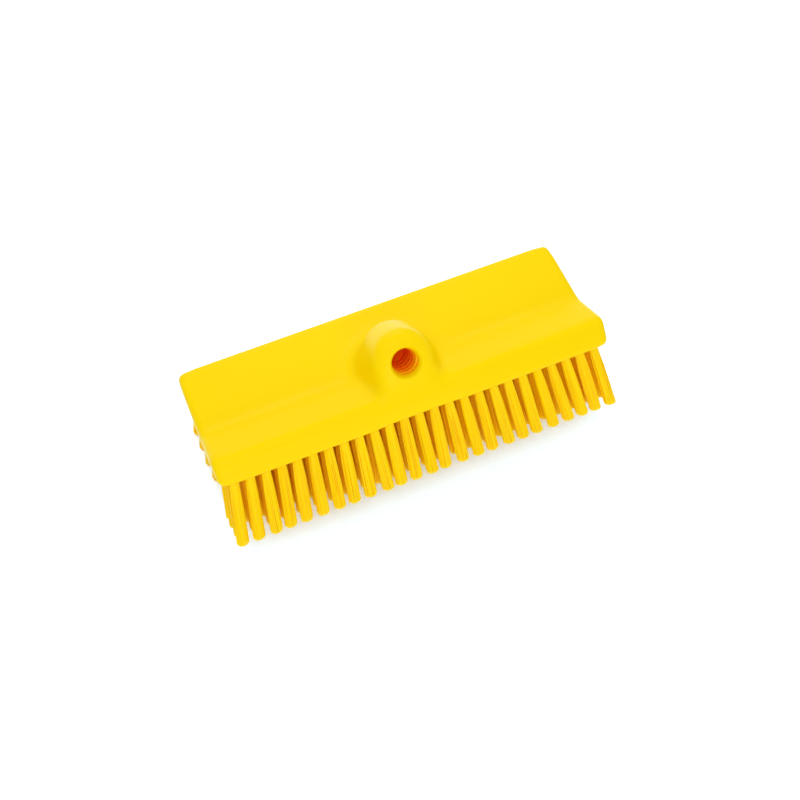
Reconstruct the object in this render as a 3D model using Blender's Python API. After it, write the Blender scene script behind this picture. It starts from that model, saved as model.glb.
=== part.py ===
"""Bi-level deck scrub brush head: a moulded block with a threaded handle socket and eight rows of tufts.

Metres, +Z up. X runs along the block and the raised front lip faces -Y. The brush stands at
Z = 0 on the bristles under its plate, and the bristles of the lip end in the air in front of
them. The origin is on the floor below the middle of its box. Shapes are modelled with the
block's back edge at Y = 0 and then moved together by their parent empty.
"""

import math

import bmesh
import bpy
from mathutils import Matrix, Vector

MM = 0.001

# Moulded block, one thickness throughout
BLOCK_LENGTH = 254 * MM
BLOCK_THICKNESS = 19 * MM
PLATE_DEPTH = 47 * MM  # back edge to the valley
LIP_LENGTH = 33.5 * MM  # valley to crest, up the slope
LIP_ANGLE = math.radians(31)
FASCIA_LENGTH = 16 * MM  # crest to nose, down the front
FASCIA_ANGLE = math.radians(43)
EDGE_ROUNDING = 3.8 * MM
CREST_ROUNDING = 4.5 * MM
VALLEY_ROUNDING = 10 * MM
END_ROUNDING = 3.5 * MM

# Handle boss, whose flat face runs down into the fascia
SOCKET_ELEVATION = math.radians(41.5)  # the handle's slope, up and forwards
SOCKET_RISE = 15.7 * MM  # crest to socket axis, up the boss face
BOSS_RADIUS = 18.5 * MM
BOSS_REACH = 34 * MM  # face to the back of the boss, along the socket
BOSS_RIM_ROUNDING = 3.5 * MM
BOSS_BACK_ROUNDING = 9 * MM
BOSS_FLARE = 5 * MM  # how much wider the foot is on each side
BOSS_FACE_SETBACK = 0.5 * MM  # face to the crest
BOSS_FACE_HALF_WIDTH = 17.5 * MM  # at its foot, where it meets the fascia
BOSS_SINK = 3 * MM  # how far its foot runs into the block

# Threaded socket for a screw-in handle
THREAD_MAJOR_DIAMETER = 19.2 * MM
THREAD_DEPTH = 2.1 * MM
THREAD_PITCH = 5.08 * MM
THREAD_LAND = 2 * MM  # width of the ridge's top, at the minor diameter
THREAD_FLANK_ANGLE = math.radians(14.5)
SOCKET_DEPTH = 30 * MM
SOCKET_MOUTH_DIAMETER = 20 * MM
THREAD_STARTS_BELOW_MOUTH = 1 * MM

# Tufts, all of one length and each row square to the underside it stands in
COLUMNS = 25
LIP_ROWS = 4
PLATE_ROWS = 4
TRIM_LENGTH = 44.45 * MM  # underside to bristle tips
END_COLUMN_INSET = 9.2 * MM  # block end to the end column's root
LIP_ROW_INSET = 4.5 * MM  # nose or bend to the nearest lip row's root, along the underside
PLATE_ROW_INSET = 7 * MM  # bend to the first plate row's root
BACK_ROW_INSET = 9 * MM  # back edge to the last row's root
END_SPLAY = 7.2 * MM  # how far the end columns' tips lean past their roots
TUFT_ROOT_RADIUS = 2.3 * MM
TUFT_TIP_RADIUS = 3.9 * MM
LEG_GAP = 0.5 * MM  # between the two legs of a folded tuft
LEG_OVERRUN = 3 * MM  # drawn past the trim plane, then cut flat on it

# Drilled holes and staples of the front row
HOLE_DIAMETER = 6 * MM
HOLE_DEPTH = 10 * MM
FOLD_THICKNESS = 1.4 * MM  # filaments that pass under the staple
STAPLE_THICKNESS = 0.5 * MM
STAPLE_HEIGHT = 2.2 * MM
STAPLE_BITE = 0.5 * MM  # how far each end of a staple cuts into the hole's wall

# Backing strips of the rows behind
STRIP_WIDTH = 6.4 * MM
STRIP_THICKNESS = 5 * MM
STRIP_END_MARGIN = 4.5 * MM  # block end to strip end
CLEARANCE = 0.3 * MM  # between pieces that touch
ROOT_SINK = 2 * MM  # how far the legs run into their plug or strip
OVERSHOOT = 2 * MM  # how far a cutter passes the surface it opens

# Facets
CORNER_STEPS = 3
END_STEPS = 3
BOSS_FACETS = 28
ROUNDING_STEPS = 3
THREAD_FACETS = 20
HOLE_FACETS = 12

# Where the block's main lines lie in its section, as (y, z)
PLATE_TOP = TRIM_LENGTH + BLOCK_THICKNESS
UP_SLOPE = Vector((-math.cos(LIP_ANGLE), math.sin(LIP_ANGLE)))
DOWN_FASCIA = Vector((-math.cos(FASCIA_ANGLE), -math.sin(FASCIA_ANGLE)))
FACE_NORMAL = Vector((-math.cos(SOCKET_ELEVATION), math.sin(SOCKET_ELEVATION)))
DOWN_FACE = Vector((-math.sin(SOCKET_ELEVATION), -math.cos(SOCKET_ELEVATION)))
VALLEY = Vector((-PLATE_DEPTH, PLATE_TOP))
CREST = VALLEY + LIP_LENGTH * UP_SLOPE
FASCIA_FOOT = CREST + FASCIA_LENGTH * DOWN_FASCIA
BEND = Vector((-PLATE_DEPTH - BLOCK_THICKNESS * math.tan(LIP_ANGLE / 2), TRIM_LENGTH))
NOSE_FOOT = Vector((FASCIA_FOOT.x, TRIM_LENGTH + (BEND.x - FASCIA_FOOT.x) * math.tan(LIP_ANGLE)))
SOCKET_MOUTH = CREST - SOCKET_RISE * DOWN_FACE - BOSS_FACE_SETBACK * FACE_NORMAL


def clear_scene():
    for obj in list(bpy.data.objects):
        bpy.data.objects.remove(obj, do_unlink=True)


def linear_colour(hex_code):
    """Linear RGBA of an sRGB colour written as six hex digits."""
    channels = [int(hex_code[i : i + 2], 16) / 255 for i in (0, 2, 4)]
    curve = [c / 12.92 if c <= 0.04045 else ((c + 0.055) / 1.055) ** 2.4 for c in channels]
    return (*curve, 1)


def material(name, hex_code, roughness, metallic):
    made = bpy.data.materials.new(name)
    made.use_nodes = True
    shader = made.node_tree.nodes["Principled BSDF"]
    shader.inputs["Base Color"].default_value = linear_colour(hex_code)
    shader.inputs["Roughness"].default_value = roughness
    shader.inputs["Metallic"].default_value = metallic
    return made


def add_object(name, shape, finish, parent):
    """A visible object from a closed bmesh, turned to face outwards and then freed."""
    bmesh.ops.recalc_face_normals(shape, faces=shape.faces)
    if shape.calc_volume(signed=True) < 0:
        bmesh.ops.reverse_faces(shape, faces=shape.faces)
    mesh = bpy.data.meshes.new(name)
    shape.to_mesh(mesh)
    shape.free()
    mesh.shade_smooth()
    mesh.set_sharp_from_angle(angle=math.radians(30))
    obj = bpy.data.objects.new(name, mesh)
    bpy.context.scene.collection.objects.link(obj)
    obj.parent = parent
    if finish:
        mesh.materials.append(finish)
    return obj


def add_helper(name, shape, parent):
    """An object that only serves a Boolean."""
    obj = add_object(name, shape, None, parent)
    obj.hide_render = True
    obj.display_type = "WIRE"
    return obj


def combine(obj, helper, operation):
    step = obj.modifiers.new(helper.name, "BOOLEAN")
    step.operation = operation
    step.object = helper


def rounded_outline(corners, steps):
    """(point, outward normal) pairs round a closed outline whose corners are (point, radius)."""
    outline = []
    area = sum(a[0].cross(b[0]) for a, b in zip(corners, corners[1:] + corners[:1]))
    for i, (corner, radius) in enumerate(corners):
        before = (corners[i - 1][0] - corner).normalized()
        after = (corners[(i + 1) % len(corners)][0] - corner).normalized()
        half = before.angle(after) / 2
        centre = corner + (before + after).normalized() * radius / math.sin(half)
        first = corner + before * radius / math.tan(half) - centre
        turn = math.pi - 2 * half
        side = 1 if before.cross(after) < 0 else -1
        convex = side * math.copysign(1, area)
        for k in range(steps + 1):
            arm = Matrix.Rotation(side * turn * k / steps, 2) @ first
            outline.append((centre + arm, arm.normalized() * convex))
    return outline


def block_corners():
    return [
        (Vector((0, PLATE_TOP)), EDGE_ROUNDING),
        (VALLEY, VALLEY_ROUNDING),
        (CREST, CREST_ROUNDING),
        (FASCIA_FOOT, EDGE_ROUNDING),
        (NOSE_FOOT, EDGE_ROUNDING),
        (BEND, EDGE_ROUNDING),
        (Vector((0, TRIM_LENGTH)), EDGE_ROUNDING),
    ]


def block_body():
    """The section drawn out along X, with its ends rounded over."""
    outline = rounded_outline(block_corners(), CORNER_STEPS)
    stations = []
    for k in range(END_STEPS + 1):
        angle = math.pi / 2 * k / END_STEPS
        reach = BLOCK_LENGTH / 2 - END_ROUNDING * (1 - math.sin(angle))
        stations.append((reach, END_ROUNDING * (1 - math.cos(angle))))
    stations = [(-x, inset) for x, inset in reversed(stations)] + stations
    shape = bmesh.new()
    rings = []
    for x, inset in stations:
        inner = [point - normal * inset for point, normal in outline]
        rings.append([shape.verts.new((x, p.x, p.y)) for p in inner])
    close_loft(shape, rings)
    return shape


def close_loft(shape, rings):
    """Faces between successive rings of vertices and over the two end rings."""
    for first, second in zip(rings, rings[1:]):
        for i in range(len(first)):
            j = (i + 1) % len(first)
            shape.faces.new((first[i], first[j], second[j], second[i]))
    shape.faces.new(reversed(rings[0]))
    shape.faces.new(rings[-1])


def block_top_height(y):
    """Height of the block's upper face at y, plate or slope."""
    return PLATE_TOP + max(0, -y - PLATE_DEPTH) * math.tan(LIP_ANGLE)


def boss_rings():
    """(distance behind the boss face, radius) of the rings that shape the boss."""
    rings = []
    for k in range(ROUNDING_STEPS + 1):
        angle = math.pi / 2 * k / ROUNDING_STEPS
        behind = BOSS_RIM_ROUNDING * (1 - math.cos(angle))
        rings.append((behind, BOSS_RADIUS - BOSS_RIM_ROUNDING * (1 - math.sin(angle))))
    for k in range(ROUNDING_STEPS + 1):
        angle = math.pi / 2 * k / ROUNDING_STEPS
        behind = BOSS_REACH - BOSS_BACK_ROUNDING * (1 - math.sin(angle))
        rings.append((behind, BOSS_RADIUS - BOSS_BACK_ROUNDING * (1 - math.cos(angle))))
    return rings


def boss_shape():
    """Hull of a cylinder along the socket, its flanks flared down to the block, and its flat face."""
    points = []
    for behind, radius in boss_rings():
        centre = SOCKET_MOUTH - behind * FACE_NORMAL
        for k in range(BOSS_FACETS):
            angle = 2 * math.pi * k / BOSS_FACETS
            across = radius * math.cos(angle)
            y, z = centre - radius * math.sin(angle) * DOWN_FACE
            points.append((across, y, z))
            if behind < BOSS_RIM_ROUNDING:
                continue
            outward = Vector((across, y - centre.x)).normalized() * BOSS_FLARE
            foot_y = max(y + outward.y, CREST.x + BOSS_SINK)
            foot_z = block_top_height(foot_y) - BOSS_SINK
            points.append((across + outward.x, foot_y, foot_z))
    face_foot = SOCKET_MOUTH + (SOCKET_RISE + CREST_ROUNDING) * DOWN_FACE
    points += [(side * BOSS_FACE_HALF_WIDTH, *face_foot) for side in (-1, 1)]
    shape = bmesh.new()
    verts = [shape.verts.new(point) for point in points]
    hull = bmesh.ops.convex_hull(shape, input=verts)
    spare = {v for v in hull["geom_interior"] + hull["geom_unused"] if isinstance(v, bmesh.types.BMVert)}
    bmesh.ops.delete(shape, geom=list(spare), context="VERTS")
    bmesh.ops.dissolve_limit(
        shape, angle_limit=math.radians(0.5), verts=shape.verts, edges=shape.edges
    )
    return shape


def socket_frame():
    """Places local +Z down the socket from its mouth."""
    inward = Vector((0, -FACE_NORMAL.x, -FACE_NORMAL.y))
    across = Vector((1, 0, 0))
    axes = Matrix((across, inward.cross(across), inward)).transposed().to_4x4()
    return Matrix.Translation((0, *SOCKET_MOUTH)) @ axes


def thread_shape():
    """Core and ridge of the handle's screw thread, which the socket is cut to fit."""
    major = THREAD_MAJOR_DIAMETER / 2
    minor = major - THREAD_DEPTH
    land = THREAD_LAND / THREAD_PITCH
    flank = THREAD_DEPTH * math.tan(THREAD_FLANK_ANGLE) / THREAD_PITCH
    # (share of a pitch, radius) round one turn of the ridge
    profile = [(0, minor), (land, minor), (land + flank, major), (1 - flank, major)]
    first, last = THREAD_STARTS_BELOW_MOUTH, SOCKET_DEPTH
    turns = math.ceil((last - first) / THREAD_PITCH)
    levels = [(turn + share, radius) for turn in range(-1, turns + 1) for share, radius in profile]
    shape = bmesh.new()
    columns = []
    for i in range(THREAD_FACETS):
        angle = 2 * math.pi * i / THREAD_FACETS
        column = []
        for level, radius in levels:
            depth = first + THREAD_PITCH * (level + i / THREAD_FACETS)
            if not first < depth < last:
                depth, radius = min(max(depth, first), last), minor
            spot = (radius * math.cos(angle), radius * math.sin(angle), depth)
            column.append(shape.verts.new(spot))
        columns.append(column)
    top = len(levels) - 1
    for i in range(THREAD_FACETS):
        here = columns[i]
        there = columns[(i + 1) % THREAD_FACETS]
        step = len(profile) if i + 1 == THREAD_FACETS else 0  # the next turn carries on
        for m in range(top):
            corners = (here[m], there[min(m + step, top)], there[min(m + step + 1, top)], here[m + 1])
            shape.faces.new(tuple(dict.fromkeys(corners)))
    for end in (0, top):
        shape.faces.new([column[end] for column in columns])
    bmesh.ops.remove_doubles(shape, verts=shape.verts, dist=0.001 * MM)
    bmesh.ops.dissolve_degenerate(shape, edges=shape.edges, dist=0.001 * MM)
    shape.transform(socket_frame())
    return shape


def lead_in_shape():
    """45 degree cone that opens the socket's mouth."""
    mouth = SOCKET_MOUTH_DIAMETER / 2
    minor = THREAD_MAJOR_DIAMETER / 2 - THREAD_DEPTH
    shape = bmesh.new()
    bmesh.ops.create_cone(
        shape,
        cap_ends=True,
        segments=BOSS_FACETS,
        radius1=mouth + OVERSHOOT,
        radius2=minor,
        depth=mouth - minor + OVERSHOOT,
        matrix=socket_frame() @ Matrix.Translation((0, 0, (mouth - minor - OVERSHOOT) / 2)),
    )
    return shape


def row_roots():
    """(root, outward normal of the underside) of each row in the section, front row first."""
    slope_length = (NOSE_FOOT - BEND).length
    lip_normal = Vector((-math.sin(LIP_ANGLE), -math.cos(LIP_ANGLE)))
    rows = []
    for k in range(LIP_ROWS):
        share = k / (LIP_ROWS - 1)
        along = LIP_ROW_INSET + share * (slope_length - 2 * LIP_ROW_INSET)
        rows.append((NOSE_FOOT - along * UP_SLOPE, lip_normal))
    for k in range(PLATE_ROWS):
        share = k / (PLATE_ROWS - 1)
        first, last = BEND.x + PLATE_ROW_INSET, -BACK_ROW_INSET
        rows.append((Vector((first + share * (last - first), TRIM_LENGTH)), Vector((0, -1))))
    return rows


def tuft_line(row, column):
    """Root on the underside and tip on the trim plane of one tuft's centre line."""
    root, outward = row_roots()[row]
    tip = root + TRIM_LENGTH * outward
    place = 2 * column / (COLUMNS - 1) - 1  # -1 at one end of the row, 1 at the other
    root_x = place * (BLOCK_LENGTH / 2 - END_COLUMN_INSET)
    return Vector((root_x, *root)), Vector((root_x + place * END_SPLAY, *tip))


def tuft_frame(row, column):
    """Places local +Z along the tuft, from its root towards its tip, with local X along the row."""
    root, tip = tuft_line(row, column)
    along = (tip - root).normalized()
    across = (Vector((1, 0, 0)) - along.x * along).normalized()
    axes = Matrix((across, along.cross(across), along)).transposed().to_4x4()
    return Matrix.Translation(root) @ axes


def leg_rings(row, column, side):
    """Root and tip rings of one leg, half an octagon in section, cut flat on the trim plane."""
    root, tip = tuft_line(row, column)
    length = (tip - root).length
    frame = tuft_frame(row, column)
    outward = Vector((0, *row_roots()[row][1]))

    def ring(radius, along):
        inner = LEG_GAP / 2
        wide, narrow = radius - inner / 2, radius / 2  # half widths at the gap and at the outside
        corners = ((inner, -wide), (radius, -narrow), (radius, narrow), (inner, wide))
        return [frame @ Vector((side * x, y, along)) for x, y in corners]

    def height(point):
        return (point - root).dot(outward)

    growth = (TUFT_TIP_RADIUS - TUFT_ROOT_RADIUS) / length
    roots = ring(TUFT_ROOT_RADIUS, -ROOT_SINK)
    ends = ring(TUFT_TIP_RADIUS + growth * LEG_OVERRUN, length + LEG_OVERRUN)
    tips = [
        a.lerp(b, (TRIM_LENGTH - height(a)) / (height(b) - height(a)))
        for a, b in zip(roots, ends)
    ]
    return roots, tips


def brush_depth():
    """Back edge to the foremost bristle tip."""
    corner = leg_rings(0, 0, 1)[1] + leg_rings(0, 0, -1)[1]
    return -min(point.y for point in corner)


def legs_shape(row, columns):
    """Both legs of each of these columns' tufts, as separate closed strands."""
    shape = bmesh.new()
    for column in columns:
        for side in (-1, 1):
            rings = [[shape.verts.new(p) for p in ring] for ring in leg_rings(row, column, side)]
            close_loft(shape, rings)
    return shape


def add_box(shape, frame, size, centre):
    """A box of this size in a frame, centred at a place in that frame."""
    moved = frame @ Matrix.Translation(centre) @ Matrix.Diagonal((*size, 1))
    bmesh.ops.create_cube(shape, size=1, matrix=moved)


def staple_centre():
    """Height of the staple's middle along the tuft, below its root."""
    return CLEARANCE + FOLD_THICKNESS + CLEARANCE + STAPLE_HEIGHT / 2 - HOLE_DEPTH


def add_staple_box(shape, frame, gap):
    """The staple's box, grown by a gap on every side."""
    length = HOLE_DIAMETER + 2 * STAPLE_BITE
    size = [side + 2 * gap for side in (STAPLE_THICKNESS, length, STAPLE_HEIGHT)]
    add_box(shape, frame, size, (0, 0, staple_centre()))


def add_hole_cylinder(shape, frame, radius, bottom, top):
    bmesh.ops.create_cone(
        shape,
        cap_ends=True,
        segments=HOLE_FACETS,
        radius1=radius,
        radius2=radius,
        depth=top - bottom,
        matrix=frame @ Matrix.Translation((0, 0, (top + bottom) / 2)),
    )


def strip_frame(row):
    """Places local +Z out of the underside at a row's root, with local X along the row."""
    root, normal = row_roots()[row]
    outward = Vector((0, *normal))
    across = Vector((1, 0, 0))
    axes = Matrix((across, outward.cross(across), outward)).transposed().to_4x4()
    return Matrix.Translation((0, *root)) @ axes


def add_strip_box(shape, row, gap, overshoot):
    """The backing strip's box, grown by a gap and open past the underside by the overshoot."""
    length = BLOCK_LENGTH - 2 * STRIP_END_MARGIN + 2 * gap
    height = STRIP_THICKNESS + gap + overshoot
    centre = (0, 0, overshoot - height / 2)
    add_box(shape, strip_frame(row), (length, STRIP_WIDTH + 2 * gap, height), centre)


def make_block(plastic, parent):
    block = add_object("brush_block", block_body(), plastic, parent)
    combine(block, add_helper("boss_solid", boss_shape(), parent), "UNION")
    combine(block, add_helper("lead_in_cutter", lead_in_shape(), parent), "DIFFERENCE")
    combine(block, add_helper("thread_cutter", thread_shape(), parent), "DIFFERENCE")
    holes, notches, pockets = bmesh.new(), bmesh.new(), bmesh.new()
    for column in range(COLUMNS):
        frame = tuft_frame(0, column)
        add_hole_cylinder(holes, frame, HOLE_DIAMETER / 2, -HOLE_DEPTH, OVERSHOOT)
        add_staple_box(notches, frame, CLEARANCE)
    for row in range(1, LIP_ROWS + PLATE_ROWS):
        add_strip_box(pockets, row, CLEARANCE, OVERSHOOT)
    for name, shape in (("hole_cutter", holes), ("notch_cutter", notches), ("pocket_cutter", pockets)):
        combine(block, add_helper(name, shape, parent), "DIFFERENCE")
    return block


def make_front_tuft(column, bristle, steel, parent):
    """One folded tuft in its drilled hole, and the staple that holds it there."""
    frame = tuft_frame(0, column)
    plug, slot, staple = bmesh.new(), bmesh.new(), bmesh.new()
    add_hole_cylinder(plug, frame, HOLE_DIAMETER / 2 - CLEARANCE, CLEARANCE - HOLE_DEPTH, 0)
    add_staple_box(slot, frame, CLEARANCE)
    add_staple_box(staple, frame, 0)
    number = f"{column + 1:02d}"
    tuft = add_object(f"front_tuft_{number}", plug, bristle, parent)
    legs = add_helper(f"front_tuft_{number}_legs", legs_shape(0, [column]), parent)
    combine(tuft, legs, "UNION")
    combine(tuft, add_helper(f"front_tuft_{number}_slot", slot, parent), "DIFFERENCE")
    add_object(f"front_staple_{number}", staple, steel, parent)


def make_bristle_row(row, bristle, parent):
    """One row of folded tufts on the strip of backing that holds them."""
    strip = bmesh.new()
    add_strip_box(strip, row, 0, 0)
    name = f"bristle_row_{row + 1}"
    obj = add_object(name, strip, bristle, parent)
    combine(obj, add_helper(f"{name}_legs", legs_shape(row, range(COLUMNS)), parent), "UNION")


def main():
    clear_scene()
    head = bpy.data.objects.new("brush_head", None)
    head.location.y = brush_depth() / 2
    bpy.context.scene.collection.objects.link(head)
    plastic = material("moulded_polypropylene", "FDD900", 0.42, 0)
    bristle = material("bristle_filament", "F8CF02", 0.5, 0)
    steel = material("staple_wire", "B9BBBD", 0.3, 1)
    make_block(plastic, head)
    for column in range(COLUMNS):
        make_front_tuft(column, bristle, steel, head)
    for row in range(1, LIP_ROWS + PLATE_ROWS):
        make_bristle_row(row, bristle, head)
    bpy.context.view_layer.update()


main()
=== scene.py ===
"""Deck scrub brush head in its studio: moulded block, front tufts, the rows behind and the staples.

The part's own frame is used throughout: metres, +Z up, X along the block, the raised lip and the
handle socket towards -Y, and the bristles of the rear plate standing on the floor at Z = 0.
"""

import logging
import math
import random
from contextlib import contextmanager
from dataclasses import dataclass
from enum import Enum
from functools import partial
from typing import Callable, Iterator, Sequence

import bmesh
import bpy
from mathutils import Matrix, Vector
from mathutils.bvhtree import BVHTree

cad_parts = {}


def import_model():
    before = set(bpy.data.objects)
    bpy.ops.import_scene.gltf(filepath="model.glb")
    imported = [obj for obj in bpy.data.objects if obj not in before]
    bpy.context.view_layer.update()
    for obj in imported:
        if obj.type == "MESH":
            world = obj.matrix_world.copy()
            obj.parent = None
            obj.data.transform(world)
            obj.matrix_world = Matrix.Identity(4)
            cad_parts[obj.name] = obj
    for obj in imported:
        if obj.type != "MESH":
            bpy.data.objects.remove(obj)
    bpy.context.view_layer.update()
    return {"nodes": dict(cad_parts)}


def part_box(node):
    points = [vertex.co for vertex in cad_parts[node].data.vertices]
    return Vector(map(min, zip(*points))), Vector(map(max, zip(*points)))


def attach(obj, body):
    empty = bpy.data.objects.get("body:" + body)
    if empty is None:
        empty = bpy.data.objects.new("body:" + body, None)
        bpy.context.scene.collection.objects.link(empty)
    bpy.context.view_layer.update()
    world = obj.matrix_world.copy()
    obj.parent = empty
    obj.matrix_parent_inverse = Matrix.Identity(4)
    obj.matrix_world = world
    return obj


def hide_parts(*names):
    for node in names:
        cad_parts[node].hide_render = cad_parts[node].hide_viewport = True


LOG = logging.getLogger("deck_brush")
MM = 0.001
BODY = "root"

BLOCK_LENGTH = 254 * MM
TRIM_LENGTH = 44.45 * MM  # underside to filament tips
SAME_SPOT = 0.01 * MM  # points that lie closer together than this are one
FACING = 0.9  # cosine above which a face counts as square to a direction
GOLDEN_ANGLE = math.pi * (3 - math.sqrt(5))  # spreads points evenly over a disc
SHADE = "strand_shade"
HEIGHT = "strand_height"

# a Mix node has sockets of the same name for each data type, so its colour ones go by number
MIX_A, MIX_B, MIXED = 6, 7, 2


class Element(Enum):
    """What is selected in edit mode."""

    VERTS = "VERT"
    EDGES = "EDGE"
    FACES = "FACE"


class Underside(Enum):
    """The two undersides that tufts stand in."""

    LIP = "lip"
    PLATE = "plate"


# Edit mode helpers


def activate(obj: bpy.types.Object) -> None:
    """Makes one object active and the only one selected, in object mode.

    Args:
        obj: The object that is worked on next.
    """
    if bpy.context.mode != "OBJECT":
        bpy.ops.object.mode_set(mode="OBJECT")
    bpy.ops.object.select_all(action="DESELECT")
    obj.select_set(True)
    bpy.context.view_layer.objects.active = obj


@contextmanager
def editing(obj: bpy.types.Object, element: Element) -> Iterator[None]:
    """Edit mode on one object, with nothing selected, for as long as the block lasts.

    Args:
        obj: The mesh object to edit.
        element: The kind of element that is picked there.
    """
    activate(obj)
    bpy.ops.object.mode_set(mode="EDIT")
    bpy.ops.mesh.select_mode(type=element.value)
    bpy.ops.mesh.select_all(action="DESELECT")
    yield
    bpy.ops.object.mode_set(mode="OBJECT")


def pick(obj: bpy.types.Object, element: Element, test: Callable[..., bool]) -> None:
    """Selects only the elements that pass a test, in edit mode.

    Args:
        obj: The object in edit mode.
        element: The kind of element to go through.
        test: Takes one element and says whether it is picked.
    """
    bpy.ops.mesh.select_all(action="DESELECT")
    shape = bmesh.from_edit_mesh(obj.data)
    groups = {Element.VERTS: shape.verts, Element.EDGES: shape.edges, Element.FACES: shape.faces}
    for item in groups[element]:
        if test(item):
            item.select_set(True)
    bmesh.update_edit_mesh(obj.data)


def faces_down(face: bmesh.types.BMFace) -> bool:
    """Whether a face looks down its object's Z axis."""
    return face.normal.z < -FACING


def extrude(x: float, y: float, z: float) -> None:
    """Extrudes the selected faces by a step, in edit mode."""
    bpy.ops.mesh.extrude_region_move(TRANSFORM_OT_translate={"value": (x, y, z)})


def turn_outwards() -> None:
    """Points every face of the mesh in edit mode outwards."""
    bpy.ops.mesh.select_all(action="SELECT")
    bpy.ops.mesh.normals_make_consistent(inside=False)


def apply_modifier(obj: bpy.types.Object, kind: str, **settings: object) -> None:
    """Adds a modifier with these settings and applies it.

    Args:
        obj: The object it works on.
        kind: The modifier's type.
        settings: Its properties by name.
    """
    activate(obj)
    step = obj.modifiers.new(kind.lower(), kind)
    for name, value in settings.items():
        setattr(step, name, value)
    bpy.ops.object.modifier_apply(modifier=step.name)


# Whole objects


def named(obj: bpy.types.Object, name: str) -> bpy.types.Object:
    """Gives an object and its mesh one name.

    Args:
        obj: The object.
        name: The name of both.

    Returns:
        The same object.
    """
    obj.name = name
    obj.data.name = name
    return obj


def place(obj: bpy.types.Object, matrix: Matrix) -> None:
    """Moves the mesh itself, so that the object stays at the origin."""
    obj.data.transform(matrix)
    obj.matrix_world = Matrix.Identity(4)


def twin(obj: bpy.types.Object) -> bpy.types.Object:
    """A copy with a mesh of its own, linked to the scene.

    Args:
        obj: The object to copy.

    Returns:
        The copy.
    """
    copy = obj.copy()
    copy.data = obj.data.copy()
    bpy.context.scene.collection.objects.link(copy)
    return copy


def discard(obj: bpy.types.Object) -> None:
    """Removes a working object and its mesh.

    Args:
        obj: The object that has done its work.
    """
    mesh = obj.data
    bpy.data.objects.remove(obj, do_unlink=True)
    bpy.data.meshes.remove(mesh)


def join(pieces: Sequence[bpy.types.Object], name: str) -> bpy.types.Object:
    """Joins several meshes in one object.

    Args:
        pieces: The objects, which end as one.
        name: Its name.

    Returns:
        The joined object.
    """
    activate(pieces[0])
    for piece in pieces:
        piece.select_set(True)
    bpy.ops.object.join()
    return named(pieces[0], name)


def dress(obj: bpy.types.Object, finish: bpy.types.Material) -> None:
    """Gives an object one finish all over."""
    obj.data.materials.clear()
    obj.data.materials.append(finish)


def surface_of(obj: bpy.types.Object) -> BVHTree:
    """Keeps an object's surface as it is now, to measure from.

    Args:
        obj: The object.

    Returns:
        The surface, which stays the same when the object changes.
    """
    shape = bmesh.new()
    shape.from_mesh(obj.data)
    surface = BVHTree.FromBMesh(shape)
    shape.free()
    return surface


def distance(spot: Vector, surface: BVHTree) -> float:
    """How far a point lies from a surface."""
    *_, away = surface.find_nearest(spot)
    return away


def axes_along(direction: Vector) -> Matrix:
    """Axes with +Z along a direction in the YZ plane, and +X where it was."""
    across = Vector((1, 0, 0))
    return Matrix((across, direction.cross(across), direction)).transposed().to_4x4()


def hand_over(piece: bpy.types.Object, slot: str, *nodes: str) -> None:
    """Lets a finished piece ride on the part's body and stand for its CAD nodes.

    Args:
        piece: The finished piece.
        slot: The record's material slot that its finish belongs to. Not used.
        nodes: The CAD nodes that it stands for.
    """
    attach(piece, BODY)
    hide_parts(*nodes)
    LOG.info("%s: %d faces, stands for %s", piece.name, len(piece.data.polygons), ", ".join(nodes))


# Finishes


def linear(hex_code: str) -> tuple[float, float, float, float]:
    """Linear RGBA of an sRGB colour.

    Args:
        hex_code: Six hex digits.

    Returns:
        The channels that a shader takes, with full alpha.
    """
    channels = [int(hex_code[i : i + 2], 16) / 255 for i in (0, 2, 4)]
    curve = [c / 12.92 if c <= 0.04045 else ((c + 0.055) / 1.055) ** 2.4 for c in channels]
    return (*curve, 1.0)


def add_node(
    tree: bpy.types.NodeTree,
    kind: str,
    inputs: dict[str | int, object] | None = None,
    **settings: object,
) -> bpy.types.Node:
    """Adds one shader node.

    Args:
        tree: The material's or world's tree.
        kind: The node's type.
        inputs: Values, or output sockets to link, by the input's name or number.
        settings: Properties of the node itself.

    Returns:
        The node.
    """
    node = tree.nodes.new(kind)
    for name, value in settings.items():
        setattr(node, name, value)
    for key, value in (inputs or {}).items():
        if isinstance(value, bpy.types.NodeSocket):
            tree.links.new(value, node.inputs[key])
        else:
            node.inputs[key].default_value = value
    return node


@dataclass(frozen=True)
class Finish:
    """What every finish has: its name and a Principled surface to start from."""

    name: str
    hex_code: str
    roughness: float
    ior: float = 1.5
    specular: float = 0.5
    metallic: float = 0.0

    def surface(self) -> tuple[bpy.types.Material, bpy.types.NodeTree, bpy.types.Node]:
        """A new material with this finish's plain values.

        Returns:
            The material, its node tree and its Principled shader.
        """
        made = bpy.data.materials.new(self.name)
        made.use_nodes = True
        tree = made.node_tree
        shader = tree.nodes["Principled BSDF"]
        plain = {
            "Base Color": linear(self.hex_code),
            "Roughness": self.roughness,
            "IOR": self.ior,
            "Specular IOR Level": self.specular,
            "Metallic": self.metallic,
        }
        for name, value in plain.items():
            shader.inputs[name].default_value = value
        return made, tree, shader


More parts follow.
